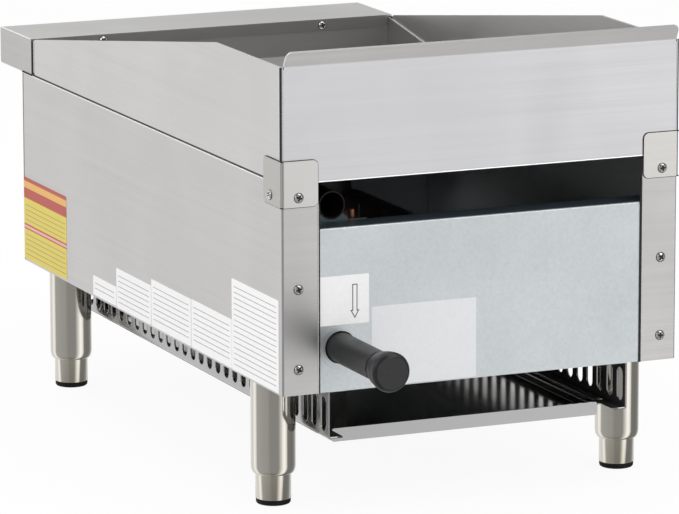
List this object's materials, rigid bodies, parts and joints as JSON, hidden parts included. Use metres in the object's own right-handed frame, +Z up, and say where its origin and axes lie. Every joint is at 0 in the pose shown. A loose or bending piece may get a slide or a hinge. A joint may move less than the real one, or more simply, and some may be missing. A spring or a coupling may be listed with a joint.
{
  "type": "countertop gas griddle",
  "caption": "Countertop gas griddle with a thick cooking plate, splashes, grease drawer, slotted base rails, adjustable legs and a capped rear gas inlet",
  "frame": {"origin": "on the countertop, midway between the sides and midway between the ledge's front face and the inlet cap's end", "axes": "+Z up, +Y to the rear where the gas inlet leaves, +X to the operator's right as the operator faces the griddle from -Y"},
  "size_m": [0.3882, 0.82, 0.416],
  "materials": {
    "stainless_panel": "brushed",
    "stainless_splash": "brushed",
    "stainless_tube": "satin",
    "galvanised": "spangled zinc",
    "plate_steel": "ground",
    "burner_steel": "matte",
    "pilot_steel": "heat tinted",
    "black_pipe": "satin",
    "black_plastic": "matte",
    "knob_plastic": "gloss",
    "rubber": "matte",
    "brass": "satin",
    "copper_line": "satin",
    "zinc_screw": "bright"
  },
  "bodies": {
    "griddle": {"side_panel_right": "stainless_panel", "side_panel_left": "stainless_panel", "rear_panel": "galvanised", "control_panel": "stainless_panel", "front_ledge": "stainless_panel", "grease_trough": "stainless_splash", "grease_chute": "stainless_splash", "griddle_plate": "plate_steel", "side_splash_right": "stainless_splash", "side_splash_left": "stainless_splash", "back_splash": "stainless_splash", "corner_bracket_right": "stainless_panel", "corner_bracket_left": "stainless_panel", "side_liner_right": "galvanised", "side_liner_left": "galvanised", "front_bulkhead": "galvanised", "base_rail_right": "galvanised", "base_rail_left": "galvanised", "bottom_pan": "galvanised", "burner": "burner_steel", "burner_saddles": "galvanised", "inlet_pipe": "black_pipe", "pipe_coupling": "black_pipe", "supply_pipe": "black_pipe", "supply_elbow": "black_pipe", "supply_nipple": "black_pipe", "gas_valve": "brass", "orifice_hood": "brass", "pilot_bracket": "galvanised", "pilot_tube": "pilot_steel", "pilot_fitting": "brass", "pilot_line": "copper_line", "thermocouple": "copper_line", "drawer_guides": "galvanised", "post_screws": "zinc_screw", "bracket_screws": "zinc_screw", "control_panel_screws": "zinc_screw", "ledge_screws": "zinc_screw", "pan_rivets": "zinc_screw", "rail_bolts": "zinc_screw", "leg_nuts": "zinc_screw", "leg_front_right": "stainless_tube", "leg_front_left": "stainless_tube", "leg_rear_right": "stainless_tube", "leg_rear_left": "stainless_tube"},
    "knob": {"knob": "knob_plastic", "valve_stem": "zinc_screw"},
    "drawer": {"grease_drawer": "stainless_panel", "drawer_handle": "stainless_tube"},
    "inlet_cap": {"inlet_cap": "black_plastic"},
    "air_shutter": {"air_shutter": "galvanised"},
    "foot_front_right": {"foot_front_right": "stainless_tube", "foot_pad_front_right": "rubber"},
    "foot_front_left": {"foot_front_left": "stainless_tube", "foot_pad_front_left": "rubber"},
    "foot_rear_right": {"foot_rear_right": "stainless_tube", "foot_pad_rear_right": "rubber"},
    "foot_rear_left": {"foot_rear_left": "stainless_tube", "foot_pad_rear_left": "rubber"}
  },
  "joints": [
    {"name": "knob_turn", "type": "hinge", "parent": "griddle", "child": "knob", "pos_m": [0.088, -0.349, 0.171], "axis": [0, -1, 0], "range_deg": [0, 90]},
    {"name": "drawer_slide", "type": "slide", "parent": "griddle", "child": "drawer", "axis": [0, -1, 0], "range_m": [0, 0.1]},
    {"name": "cap_pull", "type": "slide", "parent": "griddle", "child": "inlet_cap", "axis": [0, 1, 0], "range_m": [0, 0.08]},
    {"name": "shutter_turn", "type": "hinge", "parent": "griddle", "child": "air_shutter", "pos_m": [0.088, -0.289, 0.171], "axis": [0, 1, 0], "range_deg": [0, 60]},
    {"name": "foot_front_right_screw", "type": "slide", "parent": "griddle", "child": "foot_front_right", "axis": [0, 0, -1], "range_m": [0, 0.025]},
    {"name": "foot_front_left_screw", "type": "slide", "parent": "griddle", "child": "foot_front_left", "axis": [0, 0, -1], "range_m": [0, 0.025]},
    {"name": "foot_rear_right_screw", "type": "slide", "parent": "griddle", "child": "foot_rear_right", "axis": [0, 0, -1], "range_m": [0, 0.025]},
    {"name": "foot_rear_left_screw", "type": "slide", "parent": "griddle", "child": "foot_rear_left", "axis": [0, 0, -1], "range_m": [0, 0.025]}
  ]
}
